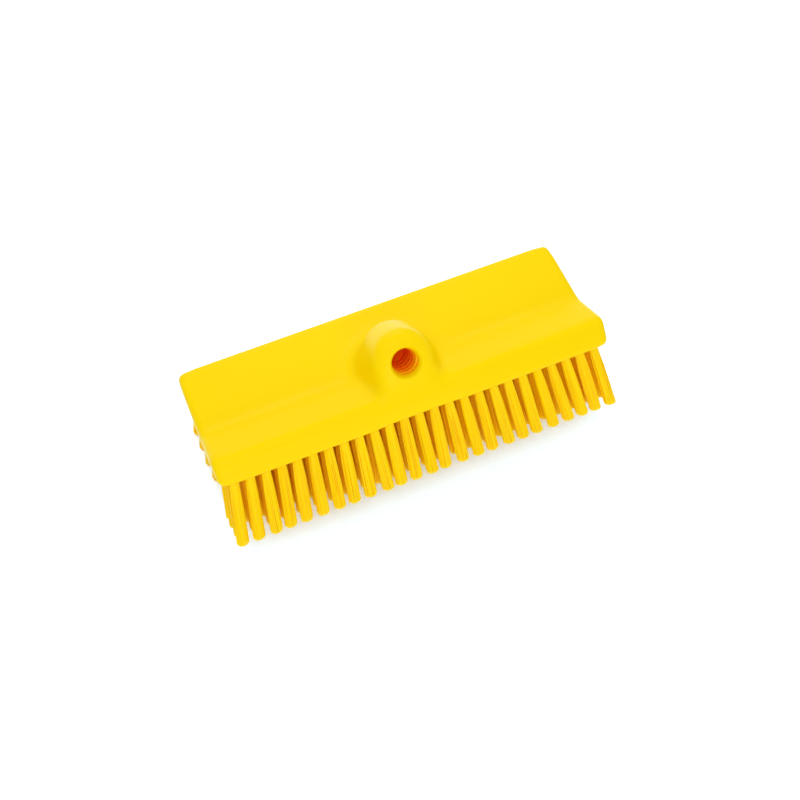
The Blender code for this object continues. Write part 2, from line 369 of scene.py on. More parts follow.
@dataclass(frozen=True)
class YellowWithPaintedHollowShade(Finish):
    """What the moulding and the filaments share: a strong yellow pigment in a cloudy plastic.

    Light that bounces about in a hollow meets more pigment each time, which takes its green and
    leaves its red. That shade is painted into the colour: where an ambient-occlusion node finds
    little open sky, the socket and the gaps between tufts are painted orange.
    """

    # painted shade: the colour that hollows are painted towards
    painted_hollow_hex: str = "FF7000"
    painted_shade_reach: float = 20 * MM  # how far off a facing wall still adds painted shade
    unshaded_from: float = 0.5  # share of open sky above which no shade is painted and the colour is the plain one
    sky_samples: int = 4

    def paint_hollow_shade(
        self, tree: bpy.types.NodeTree, colour: bpy.types.NodeSocket
    ) -> bpy.types.NodeSocket:
        """Paints shade into a colour: turns it towards the painted hollow orange where little sky
        is open.

        Args:
            tree: The material's tree.
            colour: The colour in the open.

        Returns:
            The colour with its painted shade, to give the shader.
        """
        # painted shade: the ambient occlusion picks where the colour is painted orange
        sky = add_node(
            tree,
            "ShaderNodeAmbientOcclusion",
            {"Distance": self.painted_shade_reach},
            samples=self.sky_samples,
        )
        share = add_node(
            tree,
            "ShaderNodeMapRange",
            {"Value": sky.outputs["AO"], "From Min": 0.0, "From Max": self.unshaded_from},
            interpolation_type="SMOOTHSTEP",
        )
        hollow_shaded = add_node(
            tree,
            "ShaderNodeMix",
            {"Factor": share.outputs["Result"], MIX_A: linear(self.painted_hollow_hex), MIX_B: colour},
            data_type="RGBA",
        )
        return hollow_shaded.outputs[MIXED]


@dataclass(frozen=True)
class MouldedPolypropylene(YellowWithPaintedHollowShade):
    """Injection-moulded polypropylene.

    The mould's fine spark finish gives it a soft satin sheen, and thick sections cool with broad,
    very shallow sinks that bend the light a little.
    """

    name: str = "moulded_polypropylene"
    hex_code: str = "FFDE00"
    roughness: float = 0.36
    ior: float = 1.49
    specular: float = 0.06
    shade_hex: str = "FFD900"
    grain: float = 0.7 * MM  # the spark finish's grain is finer, drawn this coarse so that it shows
    grain_height: float = 0.03 * MM
    grain_strength: float = 0.12
    sink: float = 22 * MM  # from one sink to the next
    sink_depth: float = 0.15 * MM
    sink_strength: float = 0.25
    flow: float = 60 * MM  # width of the streaks that the melt leaves as it flows
    flow_low: float = 0.3  # the streaks' noise lies mostly between these
    flow_high: float = 0.7
    smoother: float = 0.03  # how far the roughness drops in the smoothest streaks
    rougher: float = 0.04  # how far it rises in the roughest

    def build(self) -> bpy.types.Material:
        """Makes the material with its colour drift, painted shade in its hollows, sheen drift,
        grain and sinks.

        Returns:
            The material.
        """
        made, tree, shader = self.surface()
        spot = add_node(tree, "ShaderNodeTexCoord").outputs["Object"]
        flow = add_node(
            tree,
            "ShaderNodeTexNoise",
            {"Vector": spot, "Scale": 1 / self.flow, "Detail": 2.0, "Roughness": 0.5},
        ).outputs["Fac"]
        colour = add_node(
            tree,
            "ShaderNodeMix",
            {"Factor": flow, MIX_A: linear(self.hex_code), MIX_B: linear(self.shade_hex)},
            data_type="RGBA",
        )
        # painted shade: the socket and the boss's foot are painted orange where little sky is open
        tree.links.new(self.paint_hollow_shade(tree, colour.outputs[MIXED]), shader.inputs["Base Color"])
        sheen = add_node(
            tree,
            "ShaderNodeMapRange",
            {
                "Value": flow,
                "From Min": self.flow_low,
                "From Max": self.flow_high,
                "To Min": self.roughness - self.smoother,
                "To Max": self.roughness + self.rougher,
            },
        )
        tree.links.new(sheen.outputs["Result"], shader.inputs["Roughness"])
        # the broad sinks come first, and the fine grain lies on top of them
        normal = None
        for scale, detail, strength, depth in (
            (self.sink, 0.0, self.sink_strength, self.sink_depth),
            (self.grain, 1.0, self.grain_strength, self.grain_height),
        ):
            noise = add_node(
                tree, "ShaderNodeTexNoise", {"Vector": spot, "Scale": 1 / scale, "Detail": detail}
            )
            relief = {"Strength": strength, "Distance": depth, "Height": noise.outputs["Fac"]}
            if normal is not None:
                relief["Normal"] = normal
            normal = add_node(tree, "ShaderNodeBump", relief).outputs["Normal"]
        tree.links.new(normal, shader.inputs["Normal"])
        return made


@dataclass(frozen=True)
class ExtrudedFilament(YellowWithPaintedHollowShade):
    """Crimped polypropylene filament, drawn through a die.

    Each strand is a little lighter or deeper than its neighbour, and its cut tip is paler.
    """

    name: str = "bristle_filament"
    hex_code: str = "FFE300"
    roughness: float = 0.42
    ior: float = 1.49
    specular: float = 0.12
    deep_hex: str = "FFD600"
    tip_hex: str = "FFE640"
    tip_from: float = 0.96  # share of the strand's height above which the cut tip's colour starts
    # painted shade: the gaps between tufts are painted towards this colour where little sky is open
    painted_hollow_hex: str = "FFC600"
    painted_shade_reach: float = 12 * MM
    unshaded_from: float = 0.28
    crimp: float = 2.4 * MM  # one wave of the filament's crimp
    crimp_height: float = 0.1 * MM
    crimp_strength: float = 0.3

    def build(self) -> bpy.types.Material:
        """Makes the material, which reads each strand's own tone and height, and paints shade into
        the gaps between tufts.

        Returns:
            The material.
        """
        made, tree, shader = self.surface()
        shade = add_node(tree, "ShaderNodeAttribute", attribute_name=SHADE).outputs["Fac"]
        height = add_node(tree, "ShaderNodeAttribute", attribute_name=HEIGHT).outputs["Fac"]
        strand = add_node(
            tree,
            "ShaderNodeMix",
            {"Factor": shade, MIX_A: linear(self.deep_hex), MIX_B: linear(self.hex_code)},
            data_type="RGBA",
        ).outputs[MIXED]
        cut = add_node(
            tree,
            "ShaderNodeMapRange",
            {"Value": height, "From Min": self.tip_from, "From Max": 1.0},
        ).outputs["Result"]
        tipped = add_node(
            tree,
            "ShaderNodeMix",
            {"Factor": cut, MIX_A: strand, MIX_B: linear(self.tip_hex)},
            data_type="RGBA",
        ).outputs[MIXED]
        # painted shade in the gaps between tufts, on top of the strand's own tone
        tree.links.new(self.paint_hollow_shade(tree, tipped), shader.inputs["Base Color"])
        spot = add_node(tree, "ShaderNodeTexCoord").outputs["Object"]
        wave = add_node(
            tree, "ShaderNodeTexNoise", {"Vector": spot, "Scale": 1 / self.crimp, "Detail": 0.0}
        ).outputs["Fac"]
        bump = add_node(
            tree,
            "ShaderNodeBump",
            {"Strength": self.crimp_strength, "Distance": self.crimp_height, "Height": wave},
        )
        tree.links.new(bump.outputs["Normal"], shader.inputs["Normal"])
        return made


@dataclass(frozen=True)
class FlatStapleWire(Finish):
    """Bright drawn steel wire, rolled flat: long faint draw lines and a hard shine."""

    name: str = "staple_wire"
    hex_code: str = "B9BBBD"
    roughness: float = 0.28
    metallic: float = 1.0
    line: float = 0.25 * MM  # from one draw line to the next
    along_share: float = 0.05  # the noise changes this much along a line for each 1 across it
    smoother: float = 0.06  # how far the roughness drops on the brightest lines
    rougher: float = 0.08  # how far it rises on the dullest

    def build(self) -> bpy.types.Material:
        """Makes the material with its draw lines along Y, the staple's length.

        Returns:
            The material.
        """
        made, tree, shader = self.surface()
        spot = add_node(tree, "ShaderNodeTexCoord").outputs["Object"]
        along = add_node(
            tree, "ShaderNodeMapping", {"Vector": spot, "Scale": (1.0, self.along_share, 1.0)}
        ).outputs["Vector"]
        lines = add_node(tree, "ShaderNodeTexNoise", {"Vector": along, "Scale": 1 / self.line})
        shine = add_node(
            tree,
            "ShaderNodeMapRange",
            {
                "Value": lines.outputs["Fac"],
                "To Min": self.roughness - self.smoother,
                "To Max": self.roughness + self.rougher,
            },
        )
        tree.links.new(shine.outputs["Result"], shader.inputs["Roughness"])
        return made


# The block


@dataclass
class BlockSection:
    """The block's section. Its points are (y, z) from the plate's back top edge."""

    thickness: float = 19 * MM
    plate_depth: float = 47 * MM  # back edge to the valley
    lip_length: float = 33.5 * MM  # valley to crest, up the slope
    lip_angle: float = math.radians(31)  # the lip's rise from level
    fascia_length: float = 16 * MM  # crest to nose, down the front
    fascia_angle: float = math.radians(43)  # the fascia's fall from level
    edge_rounding: float = 3.8 * MM
    crest_rounding: float = 6.5 * MM
    valley_rounding: float = 15 * MM

    @property
    def up_slope(self) -> Vector:
        """Direction from the valley to the crest."""
        return Vector((-math.cos(self.lip_angle), math.sin(self.lip_angle)))

    @property
    def valley(self) -> Vector:
        """Where the plate's top meets the lip's."""
        return Vector((-self.plate_depth, 0))

    @property
    def crest(self) -> Vector:
        """The lip's highest line."""
        return self.valley + self.lip_length * self.up_slope

    @property
    def fascia_foot(self) -> Vector:
        """Where the slanted fascia meets the upright nose."""
        down = Vector((-math.cos(self.fascia_angle), -math.sin(self.fascia_angle)))
        return self.crest + self.fascia_length * down

    @property
    def bend(self) -> Vector:
        """Where the plate's underside meets the lip's."""
        forward = self.plate_depth + self.thickness * math.tan(self.lip_angle / 2)
        return Vector((-forward, -self.thickness))

    @property
    def nose_foot(self) -> Vector:
        """Where the nose meets the lip's underside."""
        rise = (self.bend.x - self.fascia_foot.x) * math.tan(self.lip_angle)
        return Vector((self.fascia_foot.x, rise - self.thickness))

    def corners(self) -> list[tuple[Vector, float]]:
        """Lists the section's corners, starting with the back top edge.

        Returns:
            Each corner and the radius of its rounding.
        """
        return [
            (Vector((0, 0)), self.edge_rounding),
            (self.valley, self.valley_rounding),
            (self.crest, self.crest_rounding),
            (self.fascia_foot, self.edge_rounding),
            (self.nose_foot, self.edge_rounding),
            (self.bend, self.edge_rounding),
            (Vector((0, -self.thickness)), self.edge_rounding),
        ]


@dataclass
class HandleBoss:
    """The boss on the lip's crest and the threaded socket that slants into it."""

    section: BlockSection
    elevation: float = math.radians(41.5)  # the handle's slope, up and forwards
    rise: float = 15.7 * MM  # crest to socket axis, up the boss's face
    radius: float = 19.8 * MM
    reach: float = 35.5 * MM  # face to the back of the boss, along the socket
    rim_rounding: float = 9 * MM
    back_rounding: float = 7 * MM
    rounding_steps: int = 6
    flare: float = 7 * MM  # how much wider the foot is on each side
    face_setback: float = 0.5 * MM  # face to the crest
    face_foot_inset: float = 1 * MM  # how much narrower the face is at its foot, on each side
    sink: float = 3 * MM  # how far the foot runs into the block
    major_diameter: float = 19.2 * MM
    thread_depth: float = 2.1 * MM
    pitch: float = 5.08 * MM
    ridge_width: float = 2 * MM  # width of the ridge's top, at the minor diameter
    flank_angle: float = math.radians(14.5)
    groove_overlap: float = 0.4 * MM  # how far the groove's cutter reaches into the bore
    groove_steps: int = 40  # for each turn
    socket_depth: float = 30 * MM
    mouth_diameter: float = 20 * MM
    chamfer: float = 1.1 * MM
    run_in: float = 6 * MM  # how far down the bore narrows to its minor diameter
    overshoot: float = 2 * MM  # how far the bore's cutter stands out of the face
    facets: int = 64

    @property
    def minor_radius(self) -> float:
        """The bore's radius between two turns of the groove."""
        return self.major_diameter / 2 - self.thread_depth

    @property
    def outward(self) -> Vector:
        """Direction out of the socket, in the section."""
        return Vector((-math.cos(self.elevation), math.sin(self.elevation)))

    @property
    def down_face(self) -> Vector:
        """Direction down the boss's flat face, in the section."""
        return Vector((-math.sin(self.elevation), -math.cos(self.elevation)))

    @property
    def mouth(self) -> Vector:
        """Middle of the socket's mouth, in the section."""
        return self.section.crest - self.rise * self.down_face - self.face_setback * self.outward

    def frame(self) -> Matrix:
        """Finds the socket's own frame, with +Z down the socket from its mouth.

        Returns:
            The matrix from there to the block's own frame.
        """
        inward = Vector((0, -self.outward.x, -self.outward.y))
        return Matrix.Translation((0, *self.mouth)) @ axes_along(inward)

    def rings(self) -> list[tuple[float, float]]:
        """Lists the rings that shape the boss, with its rim and its back rounded.

        Returns:
            Each ring's distance behind the face and its radius.
        """
        quarter = math.pi / 2
        turns = [quarter * k / self.rounding_steps for k in range(self.rounding_steps + 1)]
        rim, back = self.rim_rounding, self.back_rounding
        front = [(rim * (1 - math.cos(a)), self.radius - rim * (1 - math.sin(a))) for a in turns]
        rear = [
            (self.reach - back * (1 - math.sin(a)), self.radius - back * (1 - math.cos(a)))
            for a in turns
        ]
        return front + rear

    def flared_foot(self, centre: Vector, across: float, y: float) -> tuple[float, float, float]:
        """Carries a point of the boss down to the block and outwards by the flare.

        Args:
            centre: The middle of the point's ring, in the section.
            across: The point's X.
            y: Its Y.

        Returns:
            The point below it, sunk into the plate or the slope.
        """
        out = Vector((across, y - centre.x)).normalized() * self.flare
        foot_y = max(y + out.y, self.section.crest.x + self.sink)
        slope = max(0.0, -foot_y - self.section.plate_depth)
        foot_z = slope * math.tan(self.section.lip_angle) - self.sink
        return across + out.x, foot_y, foot_z

    def build_solid(self) -> bpy.types.Object:
        """Makes the boss without its socket: a rounded cylinder, hulled with its flared foot.

        Returns:
            The solid, in the block's own frame.
        """
        places: list[tuple[float, float, float]] = []
        for behind, radius in self.rings():
            centre = self.mouth - behind * self.outward
            for k in range(self.facets):
                angle = 2 * math.pi * k / self.facets
                across = radius * math.cos(angle)
                y, z = centre - radius * math.sin(angle) * self.down_face
                places.append((across, y, z))
                if behind >= self.rim_rounding:
                    places.append(self.flared_foot(centre, across, y))
        foot = self.mouth + (self.rise + self.section.crest_rounding) * self.down_face
        places += [(side * (self.radius - self.face_foot_inset), *foot) for side in (-1, 1)]
        bpy.ops.mesh.primitive_circle_add(vertices=len(places), radius=self.radius)
        boss = named(bpy.context.object, "boss_solid")
        for vertex, spot in zip(boss.data.vertices, places):
            vertex.co = spot
        with editing(boss, Element.VERTS):
            bpy.ops.mesh.select_all(action="SELECT")
            bpy.ops.mesh.convex_hull()
        return boss

    def build_core(self) -> bpy.types.Object:
        """Makes the cutter of the bore, with its run-in and its chamfered mouth.

        Returns:
            The cutter, in the socket's own frame.
        """
        minor = self.minor_radius
        bpy.ops.mesh.primitive_cylinder_add(
            vertices=self.facets, radius=minor, depth=self.socket_depth
        )
        core = named(bpy.context.object, "socket_core")
        place(core, Matrix.Translation((0, 0, self.socket_depth / 2)))
        throat = self.mouth_diameter / 2 - self.chamfer
        steps = [
            (self.chamfer, throat / minor),
            (-self.overshoot, (throat + self.chamfer + self.overshoot) / throat),
        ]
        with editing(core, Element.FACES):
            pick(core, Element.FACES, faces_down)
            bpy.ops.transform.translate(value=(0, 0, self.run_in))
            level = self.run_in
            for depth, grow in steps:
                extrude(0, 0, depth - level)
                bpy.ops.transform.resize(value=(grow, grow, 1), center_override=(0, 0, 0))
                level = depth
        return core

    def build_groove(self) -> bpy.types.Object:
        """Makes the cutter of the thread: its section, carried round and down by a Screw modifier.

        Returns:
            The cutter, in the socket's own frame.
        """
        inner, outer = self.minor_radius - self.groove_overlap, self.major_diameter / 2
        flank = self.thread_depth * math.tan(self.flank_angle)
        crest = self.pitch - self.ridge_width - 2 * flank
        turns = (self.socket_depth - self.pitch) / self.pitch
        start = self.mouth_diameter / 2 - self.minor_radius
        outline = [
            (inner, start),
            (outer, start + flank),
            (outer, start + flank + crest),
            (inner, start + 2 * flank + crest),
        ]
        bpy.ops.mesh.primitive_circle_add(vertices=len(outline), radius=outer)
        groove = named(bpy.context.object, "socket_groove")
        for vertex, (out, down) in zip(groove.data.vertices, outline):
            vertex.co = (out, 0, down)
        apply_modifier(
            groove,
            "SCREW",
            axis="Z",
            angle=2 * math.pi * turns,
            screw_offset=self.pitch * turns,
            steps=round(self.groove_steps * turns),
            render_steps=round(self.groove_steps * turns),
            use_merge_vertices=False,
        )
        with editing(groove, Element.EDGES):
            pick(groove, Element.EDGES, lambda edge: edge.is_boundary)
            bpy.ops.mesh.edge_face_add()
            turn_outwards()
        return groove

    def cut_socket(self, block: bpy.types.Object) -> None:
        """Cuts the bore, then the thread's groove in its wall.

        Args:
            block: The block, in its own frame.
        """
        for cutter in (self.build_core(), self.build_groove()):
            place(cutter, self.frame())
            apply_modifier(
                block, "BOOLEAN", object=cutter, operation="DIFFERENCE", solver="EXACT"
            )
            discard(cutter)


@dataclass
class MouldedBlock:
    """The block as one moulding: rounded section, boss, flowing fillets and threaded socket."""

    section: BlockSection
    boss: HandleBoss
    to_part: Matrix
    finish: bpy.types.Material
    length: float = BLOCK_LENGTH
    corner_segments: int = 8
    end_rounding: float = 3.5 * MM
    end_segments: int = 6
    voxel: float = 0.9 * MM  # grid on which body and boss become one mesh
    kept_faces: float = 0.35  # share of that mesh's faces that is left in the end
    smoothing: float = 0.5  # how far towards its neighbours each pass moves a point
    overall_passes: int = 8
    fillet_reach: float = 15 * MM  # how far the fillet at the boss's foot reaches
    fillet_passes: int = 260
    crown_reach: float = 8 * MM  # how far above the block the boss is rounded in full
    crown_passes: int = 45
    corner_reach: float = 12 * MM  # how far the rounding of a corner in plan reaches
    corner_passes: int = 50
    fade_share: float = 0.5  # share of a fillet's or corner's reach over which it fades out
    crease: float = math.radians(40)  # edges sharper than this stay sharp

    def build_body(self) -> bpy.types.Object:
        """Rounds the section's corners, draws it out along X and rounds both ends.

        Returns:
            The body, in the block's own frame.
        """
        corners = self.section.corners()
        bpy.ops.mesh.primitive_circle_add(
            vertices=len(corners), radius=self.section.thickness, fill_type="NGON"
        )
        body = named(bpy.context.object, "moulded_block")
        for vertex, (corner, _) in zip(body.data.vertices, corners):
            vertex.co = (-self.length / 2, *corner)
        with editing(body, Element.VERTS):
            for i, (corner, radius) in enumerate(corners):
                before = corners[i - 1][0] - corner
                after = corners[(i + 1) % len(corners)][0] - corner
                spot = Vector((-self.length / 2, *corner))
                pick(body, Element.VERTS, lambda vert: (vert.co - spot).length < SAME_SPOT)
                bpy.ops.mesh.bevel(
                    offset=radius / math.tan(before.angle(after) / 2),
                    segments=self.corner_segments,
                    affect="VERTICES",
                )
        with editing(body, Element.FACES):
            bpy.ops.mesh.select_all(action="SELECT")
            extrude(self.length, 0, 0)
            turn_outwards()
        with editing(body, Element.EDGES):
            pick(body, Element.EDGES, self.rims_an_end)
            bpy.ops.mesh.bevel(
                offset=self.end_rounding, segments=self.end_segments, affect="EDGES"
            )
        return body

    def rims_an_end(self, edge: bmesh.types.BMEdge) -> bool:
        """Whether both ends of an edge lie at the same end of the drawn-out section."""
        return abs(sum(vert.co.x for vert in edge.verts)) > self.length - SAME_SPOT

    def soften(
        self, block: bpy.types.Object, near: Callable[[Vector], float], passes: int
    ) -> None:
        """Smooths the mesh where a weight says so.

        Args:
            block: The remeshed block.
            near: Gives a point's weight, from 0 to 1.
            passes: How many smoothing passes are made.
        """
        group = block.vertex_groups.new(name="soften")
        for vertex in block.data.vertices:
            weight = near(vertex.co)
            if weight > 0:
                group.add([vertex.index], weight, "REPLACE")
        apply_modifier(
            block,
            "SMOOTH",
            factor=self.smoothing,
            iterations=passes,
            vertex_group=group.name,
        )
        block.vertex_groups.remove(block.vertex_groups["soften"])

    def past_the_boss(self, spot: Vector) -> bool:
        """Whether a point lies too far along the block to be shaped with the boss."""
        return abs(spot.x) > 2 * self.boss.radius

    def fillet_weight(self, spot: Vector, body: BVHTree, solid: BVHTree) -> float:
        """Weighs a point for the fillet at the boss's foot.

        Args:
            spot: The point.
            body: The body's surface.
            solid: The boss's.

        Returns:
            1 round the line where they meet, down to 0 at the fillet's reach.
        """
        if self.past_the_boss(spot):
            return 0.0
        away = max(distance(spot, body), distance(spot, solid))
        fade = (self.fillet_reach - away) / (self.fade_share * self.fillet_reach)
        return min(1.0, max(0.0, fade))

    def crown_weight(self, spot: Vector, body: BVHTree) -> float:
        """Weighs a point for the rounding of the boss itself.

        Args:
            spot: The point.
            body: The body's surface.

        Returns:
            1 on the boss well above the block, down to 0 on the block.
        """
        if self.past_the_boss(spot):
            return 0.0
        return min(1.0, distance(spot, body) / self.crown_reach)

    def corner_weight(self, spot: Vector) -> float:
        """Weighs a point for the rounding of the four corners that show in plan.

        Args:
            spot: The point.

        Returns:
            1 round a corner, down to 0 at its reach.
        """
        along = self.length / 2 - abs(spot.x)
        across = min(-spot.y, spot.y - self.section.fascia_foot.x)
        if along > self.corner_reach or across > self.corner_reach:
            return 0.0
        return min(1.0, (1 - max(along, across) / self.corner_reach) / self.fade_share)

    def build(self) -> None:
        """Joins body and boss, smooths their meeting, cuts the socket and hands the block over."""
        body, solid = self.build_body(), self.boss.build_solid()
        sharp_body, sharp_solid = surface_of(body), surface_of(solid)
        apply_modifier(body, "BOOLEAN", object=solid, operation="UNION", solver="EXACT")
        discard(solid)
        apply_modifier(body, "REMESH", mode="VOXEL", voxel_size=self.voxel)
        fillet = partial(self.fillet_weight, body=sharp_body, solid=sharp_solid)
        crown = partial(self.crown_weight, body=sharp_body)
        self.soften(body, lambda spot: 1.0, self.overall_passes)
        self.soften(body, fillet, self.fillet_passes)
        self.soften(body, crown, self.crown_passes)
        self.soften(body, self.corner_weight, self.corner_passes)
        apply_modifier(body, "DECIMATE", ratio=self.kept_faces)
        self.boss.cut_socket(body)
        place(body, self.to_part)
        dress(body, self.finish)
        activate(body)
        bpy.ops.object.shade_smooth_by_angle(angle=self.crease)
        hand_over(body, "moulded_polypropylene", "brush_block")


# The bristles


@dataclass
class FilamentTuft:
    """One folded bundle of filaments, modelled a few ways and then copied into every hole.

    Its own frame has the hole's mouth at the origin, +Z towards the tips and X along the row.
    """

    trim: float
    finish: bpy.types.Material
    count: int = 150
    sides: int = 5
    rings: int = 3
    filament_radius: float = 0.38 * MM
    root_radius: float = 2.5 * MM
    tip_radius: float = 3.65 * MM
    fan: float = 0.6  # below 1 the bundle spreads soon after it leaves its hole
    sink: float = 2 * MM  # how far the filaments reach into the block
    tip_rounding: float = 0.7 * MM  # how much shorter the outermost filaments are
    tip_dome: int = 4  # a higher power keeps the tips flat further out
    ragged: float = 0.3 * MM  # how unevenly the tips are cut
    stray: float = 0.2 * MM  # how far a filament strays from its place at the tip
    swing: float = 0.15  # how far round the bundle it strays, in radians
    crease: float = math.radians(60)  # edges sharper than this stay sharp

    def build_filament(self) -> bpy.types.Object:
        """Makes one straight filament, from a circle that is extruded ring by ring.

        Returns:
            The filament, of unit height and radius.
        """
        bpy.ops.mesh.primitive_circle_add(vertices=self.sides, radius=1.0, fill_type="NGON")
        filament = named(bpy.context.object, "filament")
        with editing(filament, Element.FACES):
            bpy.ops.mesh.select_all(action="SELECT")
            for _ in range(self.rings):
                extrude(0, 0, 1 / self.rings)
            turn_outwards()
        with editing(filament, Element.FACES):
            # the root's end is out of sight in the block
            pick(filament, Element.FACES, faces_down)
            bpy.ops.mesh.delete(type="ONLY_FACE")
        return filament

    def build_strand(
        self, filament: bpy.types.Object, index: int, chance: random.Random
    ) -> bpy.types.Object:
        """Bends a copy of the filament into its place in the bundle.

        Args:
            filament: The straight filament.
            index: The strand's number, from 0 in the middle outwards.
            chance: Draws how it strays.

        Returns:
            The strand, with its shade and its points' heights as attributes.
        """
        share = math.sqrt((index + 0.5) / self.count)
        angle = GOLDEN_ANGLE * index + chance.uniform(-self.swing, self.swing)
        root = Vector((math.cos(angle), math.sin(angle))) * share * self.root_radius
        tip = Vector((math.cos(angle), math.sin(angle))) * share * self.tip_radius
        tip += Vector((chance.gauss(0, self.stray), chance.gauss(0, self.stray)))
        if tip.length > self.tip_radius:
            tip *= self.tip_radius / tip.length
        bow = Vector((chance.gauss(0, self.stray), chance.gauss(0, self.stray)))
        length = self.trim - self.tip_rounding * share**self.tip_dome
        length -= chance.uniform(0, self.ragged)
        spin = chance.uniform(0, math.pi)
        shade = chance.random()
        strand = twin(filament)
        levels = []
        for vertex in strand.data.vertices:
            level = vertex.co.z
            height = -self.sink + (length + self.sink) * level
            middle = root.lerp(tip, (max(0.0, height) / self.trim) ** self.fan)
            middle += bow * math.sin(math.pi * level)
            x = math.cos(spin) * vertex.co.x - math.sin(spin) * vertex.co.y
            y = math.sin(spin) * vertex.co.x + math.cos(spin) * vertex.co.y
            vertex.co = (
                middle.x + x * self.filament_radius,
                middle.y + y * self.filament_radius,
                height,
            )
            levels.append(level)
        for name, values in ((SHADE, [shade] * len(levels)), (HEIGHT, levels)):
            layer = strand.data.attributes.new(name, "FLOAT", "POINT")
            layer.data.foreach_set("value", values)
        return strand

    def build(self, seed: int) -> bpy.types.Object:
        """Makes one way that the bundle can lie.

        Args:
            seed: Picks the way, the same each run.

        Returns:
            The bundle, as one dressed object.
        """
        chance = random.Random(seed)
        filament = self.build_filament()
        strands = [self.build_strand(filament, index, chance) for index in range(self.count)]
        discard(filament)
        tuft = join(strands, "tuft_pattern")
        dress(tuft, self.finish)
        for face in tuft.data.polygons:
            face.use_smooth = True
        tuft.data.set_sharp_from_angle(angle=self.crease)
        return tuft


@dataclass
class TuftPattern:
    """Where the eight rows of tufts stand in the undersides, and how they lean."""

    section: BlockSection
    to_part: Matrix
    columns: int = 25
    lip_rows: int = 4
    plate_rows: int = 4
    trim: float = TRIM_LENGTH
    block_length: float = BLOCK_LENGTH
    end_column_inset: float = 9.2 * MM  # block end to the end column's root
    lip_row_inset: float = 4.5 * MM  # nose or bend to the nearest lip row's root
    plate_row_inset: float = 7 * MM  # bend to the first plate row's root
    back_row_inset: float = 9 * MM  # back edge to the last row's root
    end_splay: float = 6.8 * MM  # how far the end columns' tips lean past their roots

    def rows(self) -> list[tuple[Vector, Underside]]:
        """Lists the rows, the front one first.

        Returns:
            Each row's root in the section, and the underside that it stands in.
        """
        slope = (self.section.nose_foot - self.section.bend).length
        found = []
        for k in range(self.lip_rows):
            share = k / (self.lip_rows - 1)
            along = self.lip_row_inset + share * (slope - 2 * self.lip_row_inset)
            found.append((self.section.nose_foot - along * self.section.up_slope, Underside.LIP))
        first = self.section.bend.x + self.plate_row_inset
        for k in range(self.plate_rows):
            share = k / (self.plate_rows - 1)
            y = first + share * (-self.back_row_inset - first)
            found.append((Vector((y, -self.section.thickness)), Underside.PLATE))
        return found

    def frame(self, row: int, column: int, stray: Vector) -> Matrix:
        """Places a tuft's own frame at its hole, sheared so that its tips stay on the trim plane.

        Args:
            row: 0 for the front row.
            column: 0 at the left end.
            stray: How far its tip strays from its place, along and across the row.

        Returns:
            The tuft's matrix in the part's frame.
        """
        root, underside = self.rows()[row]
        share = 2 * column / (self.columns - 1) - 1
        x = share * (self.block_length / 2 - self.end_column_inset)
        tilt = self.section.lip_angle if underside is Underside.LIP else 0.0
        outward = Vector((0, -math.sin(tilt), -math.cos(tilt)))
        shear = Matrix.Identity(4)
        along = max(-self.end_splay, min(self.end_splay, share * self.end_splay + stray.x))
        shear[0][2] = along / self.trim
        shear[1][2] = stray.y / self.trim
        return self.to_part @ Matrix.Translation((x, *root)) @ axes_along(outward) @ shear


@dataclass
class BristleField:
    """All the tufts: the front row piece by piece, and each row behind as one piece."""

    pattern: TuftPattern
    finish: bpy.types.Material
    ways: int = 4
    seed: int = 44
    lean_along: float = 0.6 * MM  # how far a tuft's tip strays, one standard deviation
    lean_across: float = 0.12 * MM

    def fill_row(
        self, row: int, bundles: Sequence[bpy.types.Object], chance: random.Random
    ) -> list[bpy.types.Object]:
        """Copies the bundles into the holes of one row.

        Args:
            row: 0 for the front row.
            bundles: The ways that a tuft can lie.
            chance: Draws each hole's bundle, its lean and its turn.

        Returns:
            The row's tufts, left to right.
        """
        tufts = []
        for column in range(self.pattern.columns):
            tuft = twin(bundles[chance.randrange(self.ways)])
            stray = Vector((chance.gauss(0, self.lean_along), chance.gauss(0, self.lean_across)))
            spin = Matrix.Rotation(chance.uniform(0, 2 * math.pi), 4, "Z")
            place(tuft, self.pattern.frame(row, column, stray) @ spin)
            tufts.append(tuft)
        return tufts

    def build(self) -> None:
        """Builds the tuft a few ways, fills every row and hands the tufts over."""
        tuft = FilamentTuft(self.pattern.trim, self.finish)
        bundles = [tuft.build(seed) for seed in range(1, self.ways + 1)]
        chance = random.Random(self.seed)
        for number, piece in enumerate(self.fill_row(0, bundles, chance), start=1):
            named(piece, f"filament_tuft_{number:02d}")
            hand_over(piece, "bristle_filament", f"front_tuft_{number:02d}")
        for row in range(1, len(self.pattern.rows())):
            joined = join(self.fill_row(row, bundles, chance), f"filament_row_{row + 1}")
            hand_over(joined, "bristle_filament", f"bristle_row_{row + 1}")
        for bundle in bundles:
            discard(bundle)


@dataclass
class FrontStaples:
    """The front row's staples, whose CAD solids are shaped as staples are and only need steel."""

    nodes: dict[str, bpy.types.Object]
    finish: bpy.types.Material

    def build(self) -> None:
        """Dresses each staple."""
        for name, node in self.nodes.items():
            if name.startswith("front_staple_"):
                dress(node, self.finish)
                LOG.info("%s: staple in drawn steel", name)


# The studio


def rays_that_see_white(tree: bpy.types.NodeTree) -> bpy.types.NodeSocket:
    """Picks the rays that see the studio as the camera does, so that gloss and glass show it too.

    Args:
        tree: The floor's or the dome's tree.

    Returns:
        A socket that is 1 on camera, glossy and transmission rays, and 0 on all others.
    """
    path = add_node(tree, "ShaderNodeLightPath")
    seen = path.outputs["Is Camera Ray"]
    for ray in ("Is Glossy Ray", "Is Transmission Ray"):
        either = add_node(
            tree, "ShaderNodeMath", {0: seen, 1: path.outputs[ray]}, operation="MAXIMUM"
        )
        seen = either.outputs["Value"]
    return seen


